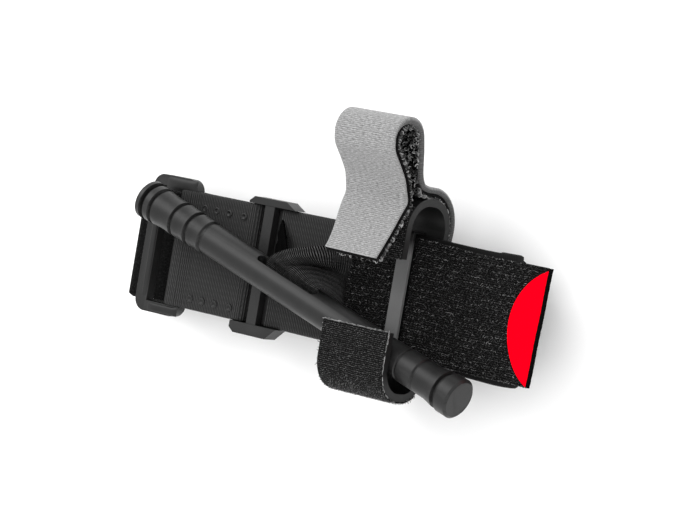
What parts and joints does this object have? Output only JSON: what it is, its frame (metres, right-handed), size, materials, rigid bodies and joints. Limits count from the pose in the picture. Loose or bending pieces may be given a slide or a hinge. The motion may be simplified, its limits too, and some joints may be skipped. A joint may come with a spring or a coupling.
{
  "type": "tourniquet",
  "caption": "Strap-and-windlass tourniquet folded in a packet: webbing band, moulded plate, two-horn clip, ribbed rod, buckle, grey strap and red tip.",
  "frame": {"origin": "on the packet's back face, on the band's centre line, near the middle of the packet's length", "axes": "+X along the band to the red tip, +Y across the band to the side where the grey strap stands, +Z out of the band's face"},
  "size_m": [0.1766, 0.089, 0.0497],
  "materials": {
    "black_plastic": "satin",
    "grey_plastic": "satin",
    "rod_plastic": "satin",
    "hook_tape": "matte",
    "ribbed_webbing": "matte",
    "inner_ribbon": "satin",
    "loop_pile": "matte",
    "strap_pile": "matte",
    "grey_strap": "matte",
    "red_tape": "matte",
    "binding": "matte",
    "thread": "matte"
  },
  "bodies": {
    "packet": {"stabilizer_plate": "black_plastic", "windlass_clip": "black_plastic", "keeper_bar": "grey_plastic", "clip_weld_pins": "black_plastic", "near_hook_patch": "hook_tape", "far_hook_patch": "hook_tape", "anchor_band": "ribbed_webbing", "anchor_welds": "ribbed_webbing", "sleeve_back_layer": "loop_pile", "sleeve_front_layer": "loop_pile", "sleeve_turn": "loop_pile", "packed_sleeve": "loop_pile", "ribbon_anchor_run": "inner_ribbon", "ribbon_bar_tack": "thread", "ribbon_sleeve_run": "inner_ribbon", "time_strap_root": "grey_strap", "strap_root_weld": "grey_strap"},
    "windlass": {"windlass_rod": "rod_plastic", "ribbon_loop": "inner_ribbon"},
    "buckle": {"routing_buckle": "black_plastic"},
    "strap_riser": {"strap_riser_webbing": "grey_strap", "strap_riser_pile": "strap_pile"},
    "strap_flap": {"strap_flap_webbing": "grey_strap", "strap_flap_pile": "strap_pile"},
    "red_tip": {"tip_backing": "ribbed_webbing", "tip_pile_layer": "loop_pile", "red_tip_tab": "red_tape", "tip_binding": "binding"}
  },
  "joints": [
    {"name": "windlass_swing", "type": "hinge", "parent": "packet", "child": "windlass", "pos_m": [-0.008, -0.0047, 0.0291], "axis": [0, 0, 1], "range_deg": [-3, 43]},
    {"name": "buckle_tilt", "type": "hinge", "parent": "packet", "child": "buckle", "pos_m": [-0.0624, 0, 0.0192], "axis": [0, 1, 0], "range_deg": [-14, 2]},
    {"name": "strap_lift", "type": "hinge", "parent": "packet", "child": "strap_riser", "pos_m": [0.02815, 0.03505, 0.0295], "axis": [-1, 0, 0], "range_deg": [0, 70]},
    {"name": "strap_unfold", "type": "hinge", "parent": "strap_riser", "child": "strap_flap", "pos_m": [0.02815, 0.05665, 0.04173], "axis": [-1, 0, 0], "range_deg": [0, 95]},
    {"name": "tip_peel", "type": "hinge", "parent": "packet", "child": "red_tip", "pos_m": [0.0707, 0, 0.0222], "axis": [0, -1, 0], "range_deg": [0, 95]}
  ]
}
